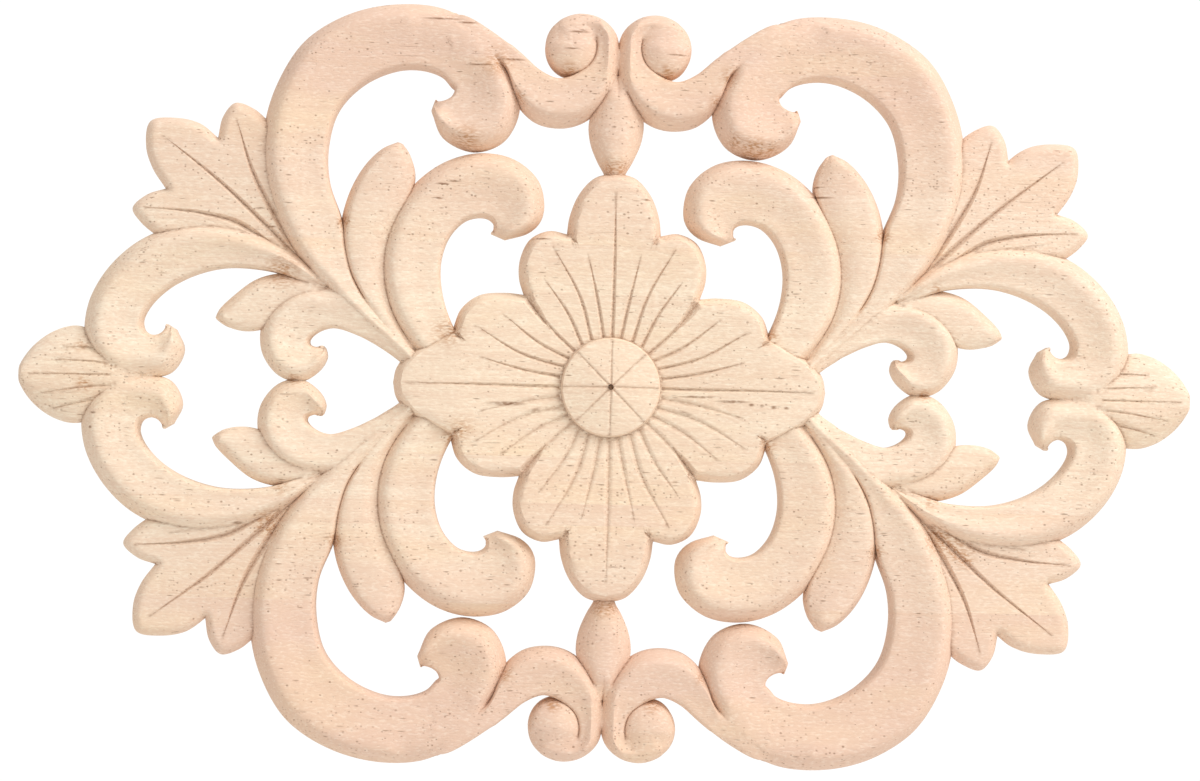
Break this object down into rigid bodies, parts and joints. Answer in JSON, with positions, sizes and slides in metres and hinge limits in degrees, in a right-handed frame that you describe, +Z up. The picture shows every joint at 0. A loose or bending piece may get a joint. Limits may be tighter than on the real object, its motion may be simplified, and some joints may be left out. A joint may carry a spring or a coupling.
{
  "type": "carved wooden centre onlay",
  "caption": "Flat-backed pierced onlay of pale raw wood, carved with a flower in the middle of mirrored scrolls and leaves, for gluing to furniture, a door or a wall panel.",
  "frame": {"origin": "centre of the flat back, behind the flower's button", "axes": "+X along the length, to the right seen from the front; +Z up along the height; the carved front faces -Y and the back's normal is +Y"},
  "size_m": [0.3, 0.0119, 0.1934],
  "materials": {
    "raw_wood": "raw, sanded and unvarnished, straight-grained pale wood with short dark pores"
  },
  "bodies": {
    "root": {"onlay": "raw_wood"}
  },
  "joints": []
}
